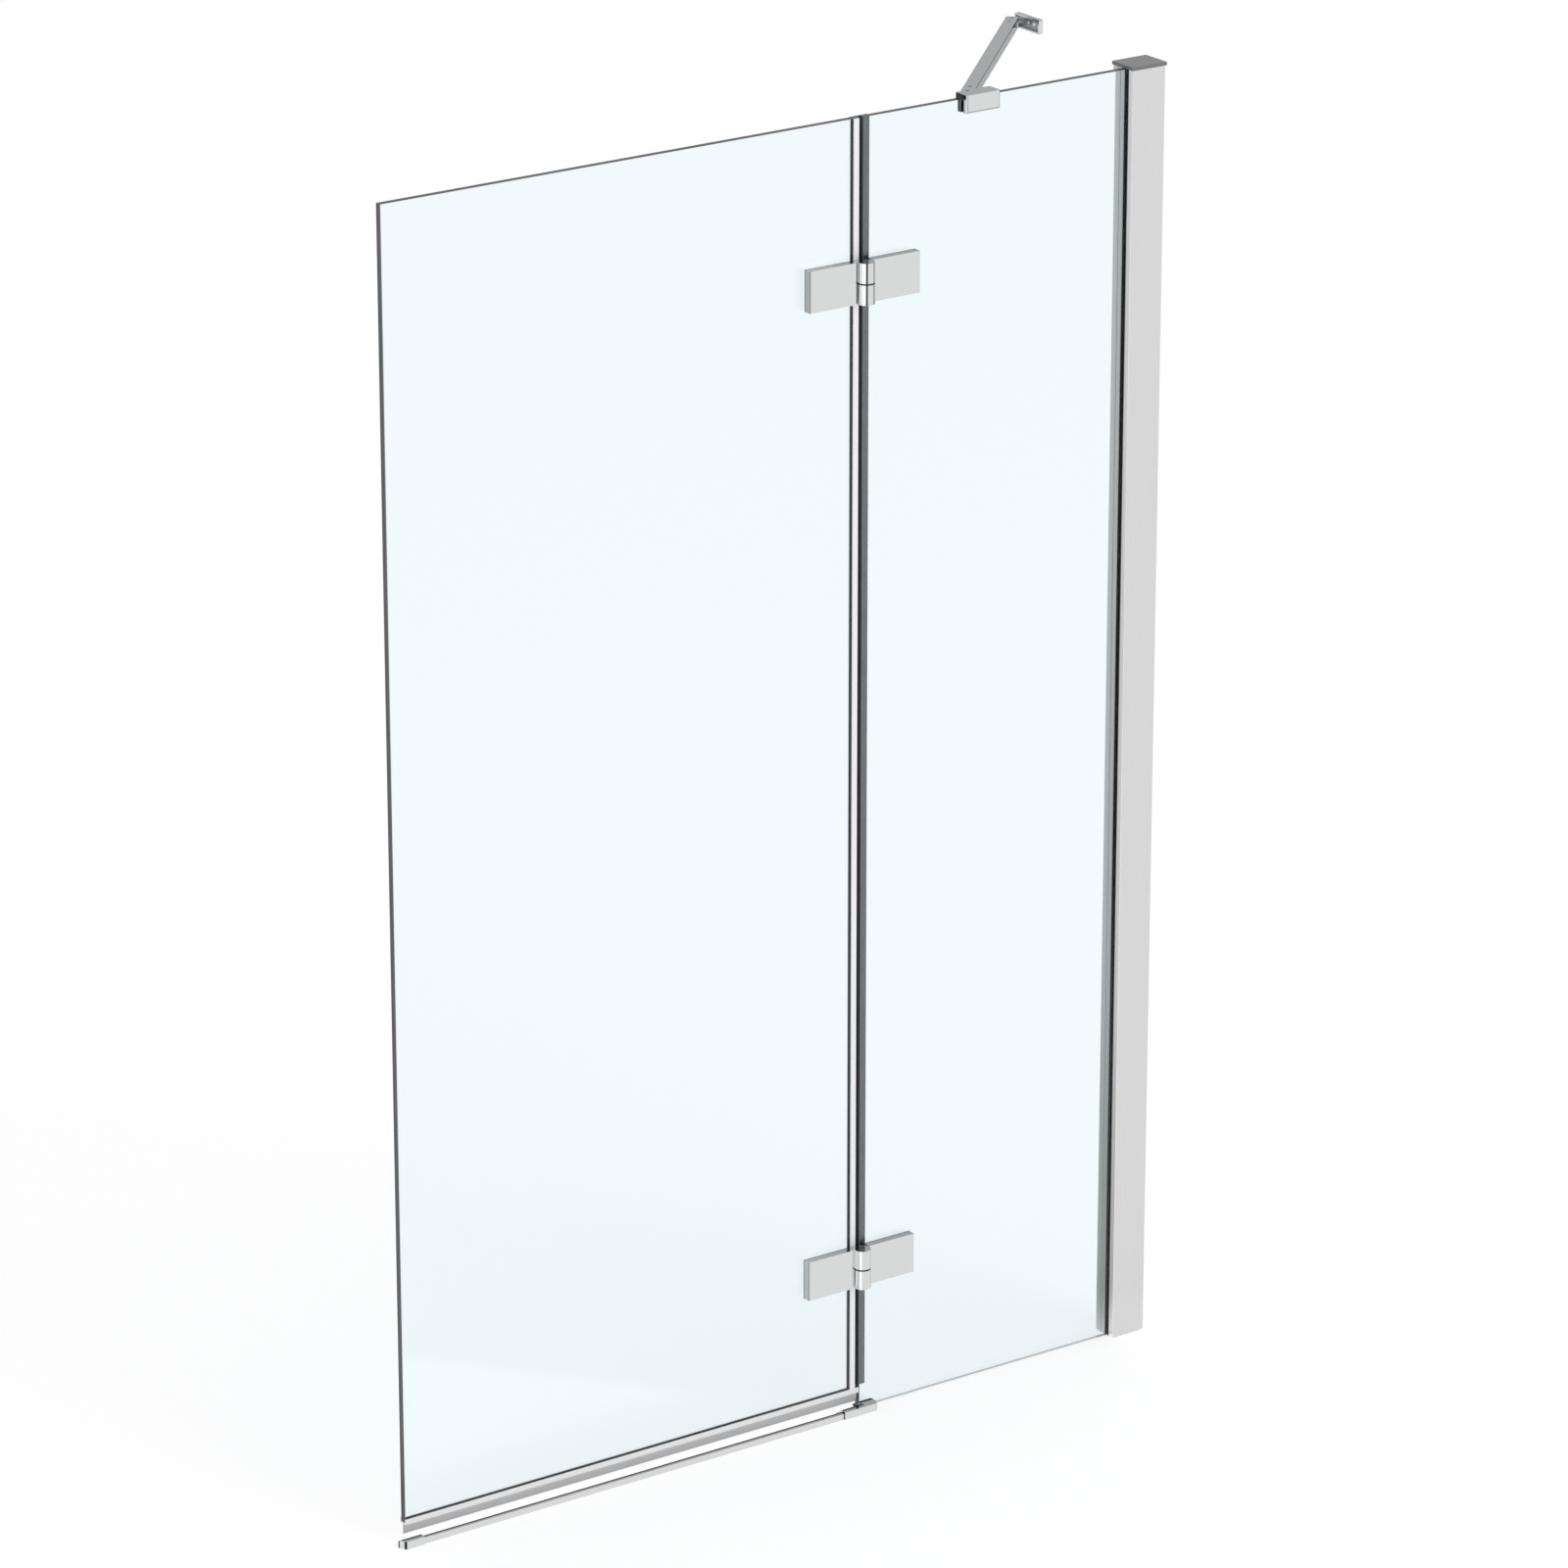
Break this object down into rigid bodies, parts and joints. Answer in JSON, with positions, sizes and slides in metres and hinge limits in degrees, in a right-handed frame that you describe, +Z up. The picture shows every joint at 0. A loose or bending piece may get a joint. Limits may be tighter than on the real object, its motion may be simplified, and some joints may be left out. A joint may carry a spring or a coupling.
{
  "type": "folding bath screen",
  "caption": "Frameless glass bath screen: a fixed pane in a wall profile, a hinged moving pane that lifts as it opens, a diagonal wall brace and a low threshold strip.",
  "frame": {"origin": "on the wall face of the channel, on the mid-plane of the glass, at the level of the bath rim", "axes": "+X towards the wall, +Y to the brace's side, towards the inside of the bath, +Z up"},
  "size_m": [1.0121, 0.2806, 1.5046],
  "materials": {
    "glass": "clear toughened float glass",
    "bright_aluminium": "polished and anodised",
    "silver_moulding": "silver moulded plastic",
    "black_gasket": "matt extruded rubber",
    "clear_seal": "clear soft vinyl",
    "clear_bush": "natural nylon",
    "acetal": "smooth white acetal",
    "stainless_steel": "plain stainless steel",
    "chrome": "polished chrome plate"
  },
  "bodies": {
    "fixed_screen": {"wall_channel": "bright_aluminium", "glass_profile": "bright_aluminium", "wall_profile_cap": "silver_moulding", "front_glass_gasket": "black_gasket", "rear_glass_gasket": "black_gasket", "profile_fixing_screws": "stainless_steel", "glass_support_block": "clear_bush", "fixed_glass": "glass", "upper_fixed_leaf": "chrome", "lower_fixed_leaf": "chrome", "fixed_hinge_gaskets": "black_gasket", "fixed_hinge_bushes": "clear_bush", "fixed_hinge_screws": "stainless_steel", "upper_fixed_cam": "acetal", "lower_fixed_cam": "acetal", "threshold_bar": "bright_aluminium", "threshold_end_cap": "silver_moulding", "threshold_connector": "silver_moulding", "threshold_liner": "black_gasket", "brace_clamp": "chrome", "clamp_liner": "black_gasket", "clamp_screw": "stainless_steel", "brace_tongue": "stainless_steel", "brace_arm": "chrome", "brace_pins": "stainless_steel", "bracket_pivot_pin": "stainless_steel"},
    "hinge_pins": {"upper_hinge_pin": "stainless_steel", "lower_hinge_pin": "stainless_steel"},
    "moving_panel": {"moving_glass": "glass", "upper_moving_leaf": "chrome", "lower_moving_leaf": "chrome", "moving_hinge_gaskets": "black_gasket", "moving_hinge_bushes": "clear_bush", "moving_hinge_screws": "stainless_steel", "upper_moving_cam": "acetal", "lower_moving_cam": "acetal", "vertical_seal": "clear_seal", "bottom_seal": "clear_seal"},
    "wall_bracket": {"bracket_plate": "chrome"}
  },
  "joints": [
    {"name": "panel_swing", "type": "hinge", "parent": "fixed_screen", "child": "hinge_pins", "pos_m": [-0.401, -0.0155, 0.75], "axis": [0, 0, 1], "range_deg": [0, 120]},
    {"name": "panel_lift", "type": "slide", "parent": "hinge_pins", "child": "moving_panel", "axis": [0, 0, 1], "range_m": [0, 0.0051]},
    {"name": "bracket_swivel", "type": "hinge", "parent": "fixed_screen", "child": "wall_bracket", "pos_m": [-0.0234, 0.237, 1.49715], "axis": [0, 0, 1], "range_deg": [-45, 90]}
  ],
  "couplings": [
    {"joint": "panel_lift", "follows": "panel_swing", "m_per_rad": 0.0023873}
  ]
}
